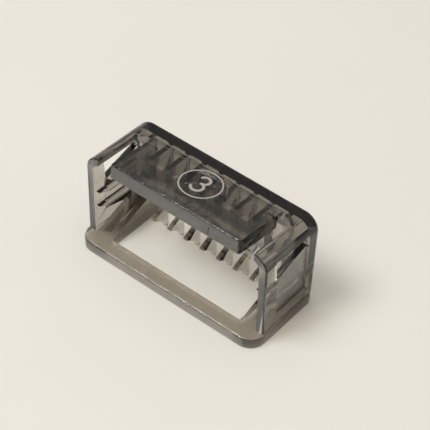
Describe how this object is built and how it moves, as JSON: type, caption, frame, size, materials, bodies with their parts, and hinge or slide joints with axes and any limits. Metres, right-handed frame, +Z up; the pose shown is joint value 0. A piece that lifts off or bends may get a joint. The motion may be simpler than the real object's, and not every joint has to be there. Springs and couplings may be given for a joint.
{
  "type": "clipper guard comb",
  "caption": "Click-on guard comb for a hair trimmer: base ring, windowed end walls, springy tongue with a ringed length mark, and a row of hooked fins.",
  "frame": {"origin": "middle of the comb's footprint, on the surface that its base ring stands on", "axes": "+X along the row of fins, -Y towards the side where the blade slides in, +Z up from the base ring to the roof with the tongue"},
  "size_m": [0.038, 0.0164, 0.0197],
  "materials": {
    "smoke_plastic": "gloss",
    "printed_mark": "matte"
  },
  "bodies": {
    "comb": {"front_rail": "smoke_plastic", "left_side_rail": "smoke_plastic", "right_side_rail": "smoke_plastic", "left_end_wall": "smoke_plastic", "right_end_wall": "smoke_plastic", "left_top_arm": "smoke_plastic", "right_top_arm": "smoke_plastic", "back_bridge": "smoke_plastic", "back_web": "smoke_plastic", "comb_fin_1": "smoke_plastic", "comb_fin_2": "smoke_plastic", "comb_fin_3": "smoke_plastic", "comb_fin_4": "smoke_plastic", "comb_fin_5": "smoke_plastic", "comb_fin_6": "smoke_plastic", "comb_fin_7": "smoke_plastic", "left_end_fin": "smoke_plastic", "right_end_fin": "smoke_plastic", "left_blade_ledge": "smoke_plastic", "right_blade_ledge": "smoke_plastic", "left_upper_guide": "smoke_plastic", "right_upper_guide": "smoke_plastic", "left_lower_guide": "smoke_plastic", "right_lower_guide": "smoke_plastic"},
    "tongue": {"tongue_plate": "smoke_plastic", "tongue_block": "smoke_plastic", "tongue_left_skirt": "smoke_plastic", "tongue_right_skirt": "smoke_plastic", "tongue_boss": "smoke_plastic", "tongue_catch": "smoke_plastic", "mark_ring": "printed_mark", "mark_digit": "printed_mark"}
  },
  "joints": [
    {"name": "tongue_lift", "type": "hinge", "parent": "comb", "child": "tongue", "pos_m": [0, 0.0049, 0.01778], "axis": [-1, 0, 0], "range_deg": [0, 8], "stiffness_Nm_per_rad": 0.6}
  ]
}
